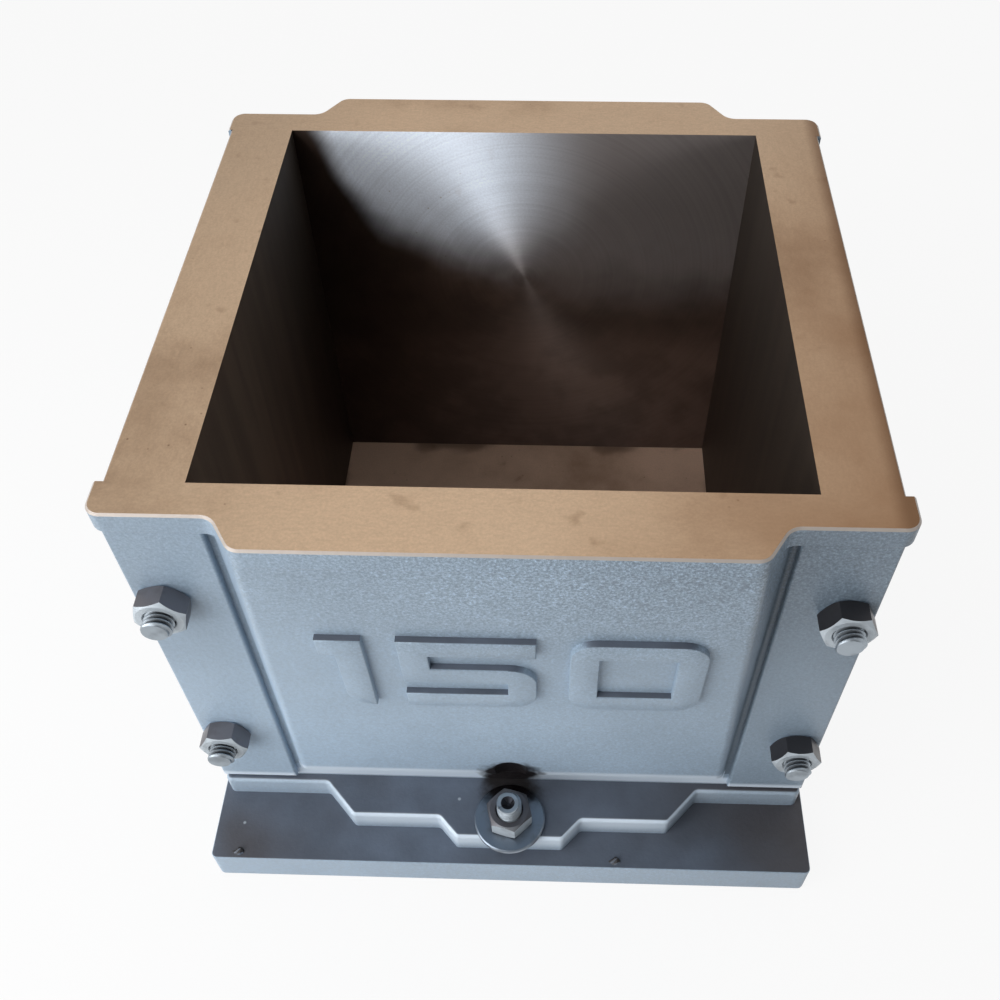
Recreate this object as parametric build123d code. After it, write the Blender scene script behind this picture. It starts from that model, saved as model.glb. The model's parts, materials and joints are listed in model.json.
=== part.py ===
"""Concrete cube mould: four bolted walls on a base plate around a cubic cavity."""

import os

from build123d import *

# Cavity and base plate, in millimetres. Up is +Z, the front is -Y, the origin is under the plate's middle.
cavity = 150.0
base_thickness = 15.0
base_side_margin = 2.0
base_front_margin = 5.5
base_corner_round = 2.0
base_foot_round = 2.0
base_top_round = 0.5

# Side walls, which stand between the front and back walls.
side_thickness = 20.0
side_edge_round = 1.0

# Front and back walls. Thicknesses are counted outwards from the cavity face.
core_thickness = 7.3
ear_thickness = 9.3
ear_width = 24.3
ear_edge_round = 0.8
ear_foot_gap = 2.0
groove_width = 1.7
groove_root_round = 1.5
panel_thickness = 19.0
panel_foot_thickness = 9.0
panel_slope_run = 7.5
panel_above_floor = 15.5
panel_edge_round = 3.0
panel_foot_round = 1.2

# Rim lip round the top of the front and back walls.
lip_height = 7.0
lip_proud = 0.9
lip_front_overhang = 2.2
lip_back_overhang = 1.0
lip_end_round = 4.0
lip_step_round = 4.5
lip_foot_round = 0.8
lip_top_chamfer = 0.6

# Foot flange, stepped out in plan towards the base stud.
flange_thickness = 9.0
flange_shoulder_reach = 21.0
flange_shoulder_half = 51.0
flange_shoulder_run = 10.0
flange_nose_reach = 27.5
flange_nose_half = 17.0
flange_nose_run = 6.0
flange_ear_step = 0.8
flange_corner_round = 2.0
flange_edge_round = 1.5

# Outward travel that the flange's slot leaves an end wall once its corner nuts are slackened.
wall_ease = 2.0

# Studs, nuts and washers, all of one thread size.
stud_radius = 4.0
stud_hole_clearance = 0.5
stud_end_chamfer = 0.9
running_clearance = 0.05
nut_across_flats = 13.0
nut_height = 6.5
nut_bore_chamfer = 0.4
nut_face_radius = 6.1
nut_bevel_slope = 0.577
washer_radius = 11.3
washer_thickness = 2.0
washer_hole_clearance = 0.4
washer_edge_chamfer = 0.4

# Corner studs, screwed into the ends of the side walls.
corner_stud_inset = 8.0
upper_stud_below_rim = 36.0
lower_stud_above_floor = 42.0
corner_stud_bury = 22.0
corner_stud_end = 3.7
corner_hole_spare = 2.0

# Base studs, screwed into the base plate.
base_stud_inset = 6.0
base_stud_bury = 12.0
base_stud_end = 4.5
base_hole_spare = 1.0
stud_dimple_radius = 2.1
stud_dimple_depth = 1.4
relief_radius = 7.8
relief_depth = 2.0
relief_rise = 5.1

# Turn of each nut about its stud, in degrees from a corner pointing up, or along +X for the base nuts.
corner_nut_turns = {
    "front_upper_left": -13.0,
    "front_upper_right": 25.0,
    "front_lower_left": 30.0,
    "front_lower_right": 30.0,
    "back_upper_left": 8.0,
    "back_upper_right": -20.0,
    "back_lower_left": 17.0,
    "back_lower_right": -5.0,
}
base_nut_turns = {"front": 45.0, "back": 20.0}

# How near two points count as one when an edge or corner is picked.
same_place = 0.01

# Places worked out from the sizes above.
half = cavity / 2
floor_z = base_thickness
rim_z = floor_z + cavity
wall_half = half + side_thickness
flange_top = floor_z + flange_thickness
ear_foot = flange_top + ear_foot_gap
panel_foot = floor_z + panel_above_floor
lip_foot = rim_z - lip_height
ear_inner = wall_half - ear_width
panel_root = ear_inner - groove_width
stud_hole_radius = stud_radius + stud_hole_clearance
tapped_radius = stud_radius + running_clearance
corner_stud_x = wall_half - corner_stud_inset
stud_heights = {"upper": rim_z - upper_stud_below_rim, "lower": floor_z + lower_stud_above_floor}
base_stud_reach = flange_nose_reach - base_stud_inset
base_stud_y = half + base_stud_reach
washer_foot = flange_top
base_nut_foot = washer_foot + washer_thickness


def mirrored(left_points):
    """A closed outline from its left half, mirrored about X = 0."""
    return left_points + [(-x, y) for x, y in reversed(left_points)]


def outward(reach):
    """The Y of a place on the front wall, so far out from the cavity face."""
    return -(half + reach)


def prism(left_points, rounds, bottom, top):
    """A prism on a mirrored outline, with the rounds of its left corners by their place in the outline."""
    face = make_face(Polyline(*mirrored(left_points), close=True))
    for place, radius in rounds.items():
        x, y = left_points[place]
        pair = [v for v in face.vertices() if abs(abs(v.X) - abs(x)) < same_place and abs(v.Y - y) < same_place]
        face = fillet(pair, radius)
    return extrude(Pos(0, 0, bottom) * face, top - bottom)


def outer_edges(solid, height):
    """The level edges of a wall feature at one height, without those on the cavity face."""
    level = solid.edges().filter_by_position(Axis.Z, height - same_place, height + same_place)
    return level.filter_by(lambda e: e.center().Y < outward(core_thickness / 2))


def panel_reach(height):
    """The reach of the panel's face at one height, as it leans out from its foot to the lip."""
    share = (height - panel_foot) / (lip_foot - panel_foot)
    return panel_foot_thickness + share * (panel_thickness - panel_foot_thickness)


def panel_side_x(reach):
    """The X of the sloped side that the panel and the lip share, so far out from the cavity face."""
    slope = panel_slope_run / (panel_thickness - core_thickness)
    return panel_root - slope * (reach - core_thickness)


def make_panel():
    """Centre panel with sloped sides, flush with the ears at its foot and proud of them at the lip."""
    top = rim_z - lip_height / 2
    face_foot = outward(panel_reach(panel_foot))
    face_top = outward(panel_reach(top))
    outline = [
        (-panel_side_x(0), outward(0)),
        (-panel_side_x(panel_reach(top)), face_top),
    ]
    profile = [
        (outward(0), panel_foot),
        (face_foot, panel_foot),
        (face_top, top),
        (outward(0), top),
    ]
    lean = extrude(Plane.YZ * make_face(Polyline(*profile, close=True)), wall_half, both=True)
    panel = prism(outline, {}, panel_foot, top) & lean
    face = panel.faces().sort_by(Axis.Y)[0]
    sides = face.edges().filter_by(lambda e: panel_foot + same_place < e.center().Z < top - same_place)
    panel = fillet(sides, panel_edge_round)
    return fillet(outer_edges(panel, panel_foot), panel_foot_round)


def panel_roots(wall):
    """The two inner corners where the panel's sloped sides leave the wall's core."""
    root_y = outward(core_thickness)
    level = wall.edges().filter_by_position(Axis.Y, root_y - same_place, root_y + same_place)
    return level.filter_by(lambda e: abs(abs(e.center().X) - panel_root) < same_place)


def make_ear(side):
    """Raised pad that takes the two corner nuts of one end."""
    width = ear_width
    depth = ear_thickness - core_thickness / 2
    height = lip_foot + lip_height / 2 - ear_foot
    centre = (
        side * (wall_half - width / 2),
        outward(ear_thickness - depth / 2),
        ear_foot + height / 2,
    )
    ear = Pos(*centre) * Box(width, depth, height)
    face = ear.faces().sort_by(Axis.Y)[0]
    edges = face.edges().filter_by(lambda e: e.center().Z < lip_foot)
    return fillet(edges, ear_edge_round)


def make_lip(overhang):
    """Rim lip that follows the ears, slopes and panel, a little proud of them and past the ends."""
    ear_reach = ear_thickness + lip_proud
    panel_reach = panel_thickness + lip_proud
    outline = [
        (-wall_half - overhang, outward(0)),
        (-wall_half - overhang, outward(ear_reach)),
        (-panel_side_x(ear_reach), outward(ear_reach)),
        (-panel_side_x(panel_reach), outward(panel_reach)),
    ]
    lip = prism(outline, {1: lip_end_round, 2: lip_step_round, 3: lip_step_round}, lip_foot, rim_z)
    lip = chamfer(outer_edges(lip, rim_z), lip_top_chamfer)
    return fillet(outer_edges(lip, lip_foot), lip_foot_round)


def make_flange():
    """Foot flange, stepped out to the base stud, with an open slot for it."""
    ear_reach = ear_thickness + flange_ear_step
    outline = [
        (-wall_half, outward(0)),
        (-wall_half, outward(ear_reach)),
        (-flange_shoulder_half - flange_shoulder_run, outward(ear_reach)),
        (-flange_shoulder_half, outward(flange_shoulder_reach)),
        (-flange_nose_half - flange_nose_run, outward(flange_shoulder_reach)),
        (-flange_nose_half, outward(flange_nose_reach)),
    ]
    rounds = {place: flange_corner_round for place in range(1, len(outline))}
    flange = prism(outline, rounds, floor_z, flange_top)
    flange = fillet(outer_edges(flange, flange_top), flange_edge_round)
    slot_end = Pos(0, outward(base_stud_reach - wall_ease), floor_z)
    slot_round = slot_end * Cylinder(
        stud_hole_radius, flange_thickness, align=(Align.CENTER, Align.CENTER, Align.MIN)
    )
    slot_mouth = slot_end * Box(
        2 * stud_hole_radius, flange_nose_reach, flange_thickness, align=(Align.CENTER, Align.MAX, Align.MIN)
    )
    return flange - slot_round - slot_mouth


def stud_relief():
    """Ball-nosed scoop in the panel's foot, which lets the base washer rise when the wall is eased out."""
    ball_z = panel_foot + relief_rise
    ball_reach = panel_reach(ball_z) - relief_depth + relief_radius
    ball = Pos(0, outward(ball_reach), ball_z) * Sphere(relief_radius)
    shank = Pos(0, outward(ball_reach), ball_z) * Cylinder(
        relief_radius, 2 * relief_rise, align=(Align.CENTER, Align.CENTER, Align.MAX)
    )
    return ball + shank


def corner_holes():
    """Clearance holes for the corner studs through both ears."""
    bore = Rot(90, 0, 0) * Cylinder(stud_hole_radius, 2 * panel_thickness)
    return [
        Pos(side * corner_stud_x, outward(ear_thickness / 2), height) * bore
        for side in (-1, 1)
        for height in stud_heights.values()
    ]


def make_end_wall(lip_overhang):
    """An end wall casting at the front, with the mould's other end made by turning it."""
    core_centre = Pos(0, outward(core_thickness / 2), (floor_z + rim_z) / 2)
    core = core_centre * Box(2 * wall_half, core_thickness, cavity)
    wall = core + make_panel()
    wall = fillet(panel_roots(wall), groove_root_round)
    wall = wall + make_ear(-1) + make_ear(1) + make_lip(lip_overhang) + make_flange()
    wall = wall - stud_relief()
    for hole in corner_holes():
        wall = wall - hole
    return wall


def make_side_wall(side):
    """Thick plate between the front and back walls, tapped at both ends for the corner studs."""
    centre = (side * (half + side_thickness / 2), 0, (floor_z + rim_z) / 2)
    wall = Pos(*centre) * Box(side_thickness, cavity, cavity)
    outer = wall.faces().sort_by(Axis.X)[-1 if side > 0 else 0]
    wall = fillet(outer.edges().filter_by(Axis.Y), side_edge_round)
    depth = corner_stud_bury + corner_hole_spare
    for end in (-1, 1):
        for height in stud_heights.values():
            hole = Rot(90, 0, 0) * Cylinder(tapped_radius, depth)
            wall = wall - Pos(side * corner_stud_x, end * (half - depth / 2), height) * hole
    return wall


def make_base_plate():
    """Flat plate that closes the cavity and carries the base studs."""
    width = 2 * (wall_half + base_side_margin)
    depth = 2 * (half + flange_nose_reach + base_front_margin)
    plate = Pos(0, 0, base_thickness / 2) * Box(width, depth, base_thickness)
    plate = fillet(plate.edges().filter_by(Axis.Z), base_corner_round)
    plate = fillet(plate.faces().sort_by(Axis.Z)[0].edges(), base_foot_round)
    plate = fillet(plate.faces().sort_by(Axis.Z)[-1].edges(), base_top_round)
    depth = base_stud_bury + base_hole_spare
    for end in (-1, 1):
        hole = Cylinder(tapped_radius, depth, align=(Align.CENTER, Align.CENTER, Align.MAX))
        plate = plate - Pos(0, end * base_stud_y, base_thickness) * hole
    return plate


def make_stud(length, dimple):
    """Stud along +Z from its buried end, with bevelled ends."""
    stud = Cylinder(stud_radius, length, align=(Align.CENTER, Align.CENTER, Align.MIN))
    stud = chamfer(stud.edges().filter_by(GeomType.CIRCLE), stud_end_chamfer)
    if dimple:
        cone = Cone(0, stud_dimple_radius, stud_dimple_depth, align=(Align.CENTER, Align.CENTER, Align.MAX))
        stud = stud - Pos(0, 0, length) * cone
    return stud


def make_nut():
    """Hexagon nut along +Z from its seat, a corner on +X, its corners bevelled at both ends."""
    corner_radius = nut_across_flats / 3**0.5
    corner_drop = nut_bevel_slope * (corner_radius - nut_face_radius)
    prism_body = extrude(RegularPolygon(corner_radius, 6), nut_height)
    bevel_outline = [
        (0, 0),
        (nut_face_radius, 0),
        (corner_radius, corner_drop),
        (corner_radius, nut_height - corner_drop),
        (nut_face_radius, nut_height),
        (0, nut_height),
    ]
    bevel = revolve(Plane.XZ * make_face(Polyline(*bevel_outline, close=True)), Axis.Z)
    bore_radius = stud_radius + running_clearance
    bore = Cylinder(bore_radius, nut_height, align=(Align.CENTER, Align.CENTER, Align.MIN))
    nut = (prism_body & bevel) - bore
    rims = nut.edges().filter_by(GeomType.CIRCLE)
    return chamfer(rims.filter_by(lambda e: e.radius < bore_radius + running_clearance), nut_bore_chamfer)


def make_washer():
    """Large flat washer along +Z from its seat."""
    washer = Cylinder(washer_radius, washer_thickness, align=(Align.CENTER, Align.CENTER, Align.MIN))
    rims = washer.edges().filter_by(GeomType.CIRCLE)
    washer = chamfer(rims, washer_edge_chamfer)
    hole_radius = stud_radius + washer_hole_clearance
    return washer - Cylinder(hole_radius, 2 * washer_thickness)


def corner_places():
    """Name, end, side and height of every corner stud and nut."""
    for end_name, end in (("front", -1), ("back", 1)):
        for level, height in stud_heights.items():
            for side_name, side in (("left", -1), ("right", 1)):
                yield f"{end_name}_{level}_{side_name}", end, side, height


def build():
    """Every node of the mould, by name."""
    nodes = {
        "base_plate": make_base_plate(),
        "front_wall": make_end_wall(lip_front_overhang),
        "back_wall": Rot(0, 0, 180) * make_end_wall(lip_back_overhang),
        "left_wall": make_side_wall(-1),
        "right_wall": make_side_wall(1),
    }
    corner_length = corner_stud_bury + ear_thickness + nut_height + corner_stud_end
    corner_stud = make_stud(corner_length, dimple=False)
    base_length = base_stud_bury + flange_thickness + washer_thickness + nut_height + base_stud_end
    base_stud = make_stud(base_length, dimple=True)
    nut = make_nut()
    washer = make_washer()
    for name, end, side, height in corner_places():
        out = Rot(-90 * end, 0, 0)
        x = side * corner_stud_x
        nodes[f"corner_stud_{name}"] = Pos(x, end * (half - corner_stud_bury), height) * out * corner_stud
        turn = Rot(0, 0, 90 + corner_nut_turns[name])
        nodes[f"corner_nut_{name}"] = Pos(x, end * (half + ear_thickness), height) * out * turn * nut
    for name, end in (("front", -1), ("back", 1)):
        y = end * base_stud_y
        nodes[f"base_stud_{name}"] = Pos(0, y, floor_z - base_stud_bury) * base_stud
        nodes[f"base_washer_{name}"] = Pos(0, y, washer_foot) * washer
        nodes[f"base_nut_{name}"] = Pos(0, y, base_nut_foot) * Rot(0, 0, base_nut_turns[name]) * nut
    return nodes


os.makedirs("parts", exist_ok=True)
for node_name, shape in build().items():
    export_step(shape, f"parts/{node_name}.step")
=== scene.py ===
"""Finishes a cast iron cube mould with enamel, bare machined iron, threaded studs and raised figures."""

import json
import math
from types import SimpleNamespace

import bpy
from bpy.props import FloatProperty, FloatVectorProperty, IntProperty, PointerProperty, StringProperty
from mathutils import Matrix, Vector


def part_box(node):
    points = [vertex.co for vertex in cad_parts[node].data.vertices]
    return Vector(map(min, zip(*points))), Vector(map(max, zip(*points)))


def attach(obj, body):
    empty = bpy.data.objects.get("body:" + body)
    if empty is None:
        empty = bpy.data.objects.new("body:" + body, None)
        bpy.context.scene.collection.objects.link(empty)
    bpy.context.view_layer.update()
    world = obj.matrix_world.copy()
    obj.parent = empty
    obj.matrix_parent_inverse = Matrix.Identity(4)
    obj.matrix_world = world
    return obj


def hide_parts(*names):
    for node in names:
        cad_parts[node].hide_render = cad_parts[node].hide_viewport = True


bl_info = {
    "name": "Cube Mould Finish",
    "version": (1, 0, 0),
    "blender": (4, 5, 0),
    "location": "View3D > Sidebar > Cube Mould",
    "description": "Paint, bare iron, threads and raised figures for a cast iron cube mould",
    "category": "Object",
}

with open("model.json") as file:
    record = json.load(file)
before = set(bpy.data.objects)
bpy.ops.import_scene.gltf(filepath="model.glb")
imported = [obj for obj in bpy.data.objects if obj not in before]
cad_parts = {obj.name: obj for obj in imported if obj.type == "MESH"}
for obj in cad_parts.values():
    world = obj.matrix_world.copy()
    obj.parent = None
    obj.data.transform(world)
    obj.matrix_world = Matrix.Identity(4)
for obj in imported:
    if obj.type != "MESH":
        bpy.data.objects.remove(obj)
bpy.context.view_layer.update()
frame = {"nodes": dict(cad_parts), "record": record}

mm = 0.001
# A face looks along an axis when its normal's part along that axis is more than this.
square_on = 0.99

# Places that the finishes need, read from the frame.
rim_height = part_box("front_wall")[1].z
floor_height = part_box("left_wall")[0].z
cavity_half = -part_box("left_wall")[1].x
wall_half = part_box("right_wall")[1].x
plate_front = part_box("base_plate")[0].y
flange_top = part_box("base_washer_front")[0].z


def panel_face(body, facing):
    """A face of an end wall's leaning panel, which is its largest outward one."""
    faces = [face for face in frame["nodes"][body].data.polygons if face.normal.y * facing > square_on]
    return max(faces, key=lambda face: face.area)


def on_panel(body, facing, x, height):
    """The point of an end wall's panel at one height, and the way that the panel faces there."""
    face = panel_face(body, facing)
    y = face.center.y - face.normal.z / face.normal.y * (height - face.center.z)
    return Vector((x, y, height)), face.normal.copy()


def panel_corners(body, facing):
    """All corners of an end wall's panel face."""
    mesh = frame["nodes"][body].data
    level = panel_face(body, facing).normal
    same_plane = 0.99999
    flush = [face for face in mesh.polygons if face.normal.dot(level) > same_plane]
    return [mesh.vertices[corner].co for face in flush for corner in face.vertices]


panel_foot = min(corner.z for corner in panel_corners("front_wall", -1))
panel_half = max(corner.x for corner in panel_corners("front_wall", -1))

# Places on the castings that the frame doesn't give: grooves beside the panel, rim lip, seat of the walls.
groove_middle = wall_half - 25.2 * mm
lip_foot = rim_height - 9 * mm
seat_half = cavity_half + 9 * mm


def display_shade(red, green, blue):
    """Linear colour of a shade given as it shows on a screen, from 0 to 255."""
    steps = [value / 255 for value in (red, green, blue)]
    return tuple(s / 12.92 if s <= 0.04045 else ((s + 0.055) / 1.055) ** 2.4 for s in steps)


def colour_property(label, words, shade):
    """A colour that the user may change."""
    limits = {"subtype": "COLOR", "min": 0.0, "max": 1.0}
    return FloatVectorProperty(name=label, description=words, default=display_shade(*shade), **limits)


def length_property(label, words, value):
    """A length in metres that the user may change."""
    return FloatProperty(name=label, description=words, default=value, unit="LENGTH", precision=5)


def share_property(label, words, value):
    """A share from none to all that the user may change."""
    return FloatProperty(name=label, description=words, default=value, min=0.0, max=1.0, subtype="FACTOR")


def power_property(label, words, value):
    """The power of a lamp in watts."""
    return FloatProperty(name=label, description=words, default=value, min=0.0, unit="POWER")


def angle_property(label, words, degrees):
    """An angle that the user may change, given in degrees."""
    return FloatProperty(name=label, description=words, default=math.radians(degrees), subtype="ANGLE")


def place_property(label, words, place):
    """The place of a camera or a lamp."""
    return FloatVectorProperty(name=label, description=words, default=place, subtype="TRANSLATION")


class MouldPaint(bpy.types.PropertyGroup):
    """Enamel on the outside of the castings."""

    colour: colour_property("Enamel", "Paint on upright faces", (156, 175, 193))
    # Upward faces of the enamel take this darker colour: dust that has settled there and painted shade, as
    # less light falls on them.
    settled: colour_property("Settled dirt", "Shade of paint on upward faces", (90, 100, 115))
    grime: colour_property("Grime", "Brown dirt on upward faces", (70, 65, 66))
    chip: colour_property("Chips", "Small pale chips in the paint", (226, 236, 244))
    # Pale edges: partly wear, partly a painted highlight on the rounded edges.
    worn_and_highlit: colour_property("Worn and highlit edges", "Paint rubbed pale along the casting's lower edges", (222, 236, 250))
    # Black round the base stud: greasy dirt and painted shade in the recess above it and behind the washer.
    grease_and_shade: colour_property("Grease And Shade", "Black grease round the base stud", (26, 23, 25))
    # Grit with painted glints: the pale specks are painted highlights.
    grit: share_property("Grit", "How much the fine grit in the paint shows", 0.25)
    roughness: share_property("Roughness", "Gloss of the enamel, lower is shinier", 0.4)
    peel: length_property("Peel", "Height of the paint's orange peel", 0.00011)


class MouldIron(bpy.types.PropertyGroup):
    """Bare machined faces of the castings."""

    rim: colour_property("Rim", "Bare iron on top of the walls", (213, 184, 154))
    stain: colour_property("Stain", "Burnt oil stains on bare iron", (122, 88, 60))
    burn: colour_property("Burn", "Brown burn on the right of the rim", (154, 116, 84))
    edge: colour_property("Edge", "Bright metal on the rim's bevel", (192, 182, 174))
    # This bright colour shows high at the left of the turned faces: cleaner iron with a painted highlight.
    cavity: colour_property("Cavity", "Turned iron inside the end walls", (236, 244, 255))
    side: colour_property("Sides", "Oiled iron inside the side walls", (80, 68, 58))
    oil: colour_property("Oil", "Old oil low down inside the mould", (82, 63, 52))
    dull: colour_property("Dull iron", "Turned iron dulled by use", (176, 168, 166))
    film: colour_property("Film", "Brown film of oil low on the turned faces", (99, 79, 69))
    bed: colour_property("Bed", "Bare iron of the base inside the mould", (214, 180, 157))
    turning: length_property("Turning centre", "Centre of the turning marks below the rim", 0.059)


class MouldSteel(bpy.types.PropertyGroup):
    """Studs, nuts and washers."""

    thread: colour_property("Thread", "Plated stud thread", (160, 169, 177))
    # Painted shade in the thread's grooves, on their undersides and in a stud's centre mark.
    groove: colour_property("Groove", "Dirt in the thread's grooves", (52, 54, 60))
    nut: colour_property("Nut", "Blackened nuts", (112, 111, 116))
    # Pale faces on the nuts: partly wear, partly a painted highlight.
    rubbed_and_highlit: colour_property("Rubbed and highlit nut", "Blackened nuts where they are rubbed bright", (188, 198, 206))
    washer: colour_property("Washer", "Dull plated washers", (128, 138, 150))
    soot: colour_property("Soot", "Dirt rubbed into the steel", (58, 54, 54))
    pitch: length_property("Pitch", "Distance from one thread crest to the next", 0.00125)
    thread_depth: length_property("Thread depth", "Height of a thread from root to crest", 0.00072)
    thread_inset: length_property("Thread clearance", "Crest below the nut's bore", 0.00003)
    flank: share_property("Flank", "Share of the pitch under one flank", 0.3)
    crest_flat: share_property("Crest flat", "Share of the pitch that is flat at the crest", 0.2)
    turn_steps: IntProperty(
        name="Steps", description="Steps in one turn of the thread", default=24, min=8, max=64
    )
    bevel: length_property("End bevel", "Bevel of a stud's end", 0.0004)
    dimple: length_property("Dimple", "Depth of the centre mark in a base stud's end", 0.0012)


class MouldFigures(bpy.types.PropertyGroup):
    """Raised figures on the end walls."""

    text: StringProperty(name="Figures", description="Cavity size in millimetres", default="150")
    height: length_property("Height", "Height of a figure", 0.038)
    width: length_property("Width", "Width of a broad figure", 0.036)
    stroke: length_property("Stroke", "Width of a figure's stroke", 0.0078)
    gap: length_property("Gap", "Gap between two figures", 0.0088)
    shift: length_property("Shift", "Middle of the figures to the right of the panel's middle", 0.0027)
    middle: length_property("Middle", "Middle of the figures below the rim", 0.0585)
    relief: length_property("Relief", "Height of the figures above the panel", 0.0020)
    sink: length_property("Sink", "Depth of the figures' feet in the panel", 0.0006)
    round: length_property("Round", "Rounding of the figures' top edges", 0.0004)
    turn: length_property("Turn", "Rounding where a stroke turns", 0.0074)
    flag: length_property("Flag", "Length of a figure one's flag", 0.0042)


class MouldBurrs(bpy.types.PropertyGroup):
    """Small burrs left on the front edge of the base plate."""

    left: length_property("Left", "Place of the left burr across the plate", -0.0884)
    right: length_property("Right", "Place of the right burr across the plate", 0.034)
    width: length_property("Width", "Width of a burr", 0.0046)
    height: length_property("Height", "Height of a burr from its sunk foot", 0.0015)
    sink: length_property("Sink", "Depth of a burr's foot in the plate", 0.0004)


class MouldStage(bpy.types.PropertyGroup):
    """Camera, floor and lamps."""

    lens: FloatProperty(name="Lens", description="Focal length in millimetres", default=39.105)
    sensor: FloatProperty(name="Sensor", description="Width of the sensor in millimetres", default=36.0)
    eye: place_property("Eye", "Camera place", (0.01312, -0.23891, 0.36108))
    pitch: angle_property("Pitch", "Tilt down", 50.5)
    heading: angle_property("Heading", "Turn to the right", -2.12)
    roll: angle_property("Roll", "Roll to the left", -0.55)
    shift: FloatVectorProperty(name="Shift", description="Lens shift", size=2, default=(-0.0309, -0.003))
    key: power_property("Key lamp", "Large lamp at the front left", 2.8)
    key_place: place_property("Key place", "Place of the key lamp", (-0.38, -0.38, 0.42))
    key_size: length_property("Key size", "Width of the key lamp", 0.6)
    side: power_property("Side lamp", "Lamp low at the left", 0.5)
    side_place: place_property("Side place", "Place of the side lamp", (-0.42, -0.32, 0.14))
    side_size: length_property("Side size", "Width of the side lamp", 0.25)
    spot: power_property("Spot lamp", "Narrow lamp over the front wall into the mould", 3.8)
    spot_place: place_property("Spot place", "Place of the spot lamp", (-0.31, -0.28, 0.475))
    spot_radius: length_property("Spot radius", "Radius of the spot lamp", 0.05)
    spot_cone: angle_property("Spot cone", "Width of the spot lamp's cone", 20)
    horizon: share_property("Horizon", "Light of the room along the horizon", 0.06)
    behind: share_property("Behind", "Light of the room's wall behind the mould", 0.55)
    zenith: share_property("Zenith", "Light of the room overhead", 0.45)
    floor_radius: length_property("Floor", "Radius of the floor", 6.0)
    floor_tone: share_property("Floor tone", "How pale the floor is", 0.8)
    white: share_property("White", "How far the floor is lifted to white", 0.9)
    sky: share_property("Sky", "White of the room along the horizon, as pale as the far floor", 0.93)


# Shader trees.

node_spacing = 190
# Cloudy noise seldom goes beyond these.
noise_low = 0.3
noise_high = 0.7


def add_node(tree, kind, inputs=None, **settings):
    """A shader node with its settings made and its inputs linked to fields or filled with constants."""
    node = tree.nodes.new(kind)
    node.location = (node_spacing * len(tree.nodes), 0)
    for name, value in settings.items():
        setattr(node, name, value)
    for label, value in (inputs or {}).items():
        socket = node.inputs[label]
        if isinstance(value, Field):
            tree.links.new(value.socket, socket)
        elif socket.type == "RGBA":
            socket.default_value = (*value, 1.0)
        else:
            socket.default_value = value
    return node


def new_field(tree, kind, inputs=None, output=0, **settings):
    """One output of a new shader node."""
    return Field(tree, add_node(tree, kind, inputs, **settings).outputs[output])


class Field:
    """A value, vector, colour or shader that varies over a surface. Its methods add the nodes."""

    def __init__(self, tree, socket):
        self.tree = tree
        self.socket = socket

    def math(self, operation, other=0.0):
        """The result of one Math node."""
        return new_field(self.tree, "ShaderNodeMath", {0: self, 1: other}, operation=operation)

    def __add__(self, other):
        return self.math("ADD", other)

    def __sub__(self, other):
        return self.math("SUBTRACT", other)

    def __mul__(self, other):
        return self.math("MULTIPLY", other)

    def __abs__(self):
        return self.math("ABSOLUTE")

    def below(self, limit):
        """1 where the value is less than a limit."""
        return self.math("LESS_THAN", limit)

    def above(self, limit):
        """1 where the value is more than a limit."""
        return self.math("GREATER_THAN", limit)

    def larger(self, other):
        """The larger of two values."""
        return self.math("MAXIMUM", other)

    def vector(self, operation, other=(0, 0, 0), output="Vector"):
        """The result of one Vector Math node."""
        return new_field(self.tree, "ShaderNodeVectorMath", {0: self, 1: other}, output, operation=operation)

    def distance(self, place):
        """How far the vector is from a place."""
        return self.vector("DISTANCE", place, "Value")

    def parts(self):
        """The vector's X, Y and Z."""
        separate = add_node(self.tree, "ShaderNodeSeparateXYZ", {0: self})
        x, y, z = (Field(self.tree, socket) for socket in separate.outputs)
        return SimpleNamespace(x=x, y=y, z=z)

    def ramp(self, low, high, bottom=0.0, top=1.0):
        """A value eased from bottom to top while this one goes from low to high."""
        ends = {"Value": self, "From Min": low, "From Max": high, "To Min": bottom, "To Max": top}
        return new_field(self.tree, "ShaderNodeMapRange", ends, interpolation_type="SMOOTHSTEP")

    def spread(self, bottom, top):
        """A noise spread over a range."""
        return self.ramp(noise_low, noise_high, bottom, top)

    def noise(self, scale, detail=2.0, roughness=0.5):
        """Cloudy noise with so many features to the metre."""
        inputs = {"Vector": self, "Scale": scale, "Detail": detail, "Roughness": roughness}
        return new_field(self.tree, "ShaderNodeTexNoise", inputs, "Fac")

    def specks(self, scale):
        """How far the nearest of many strewn specks is, as a share of their spacing, so many to the metre."""
        return new_field(self.tree, "ShaderNodeTexVoronoi", {"Vector": self, "Scale": scale}, "Distance")

    def fade(self, under, over):
        """One value faded into another through this mask."""
        return new_field(self.tree, "ShaderNodeMix", {0: self, 2: under, 3: over}, data_type="FLOAT")

    def lay(self, under, over):
        """One colour laid over another through this mask."""
        return new_field(self.tree, "ShaderNodeMix", {0: self, 6: under, 7: over}, 2, data_type="RGBA")

    def shade(self, colour):
        """A colour made darker or lighter by this tone, which is about 1."""
        grey = new_field(self.tree, "ShaderNodeCombineColor", {0: self, 1: self, 2: self})
        multiply = {"data_type": "RGBA", "blend_type": "MULTIPLY"}
        return new_field(self.tree, "ShaderNodeMix", {0: 1.0, 6: colour, 7: grey}, 2, **multiply)

    def cover(self, under, over):
        """One shader over another through this mask."""
        return new_field(self.tree, "ShaderNodeMixShader", {0: self, 1: under, 2: over})


def coordinate(tree, label):
    """One vector of the Texture Coordinate node."""
    return new_field(tree, "ShaderNodeTexCoord", output=label)


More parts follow.
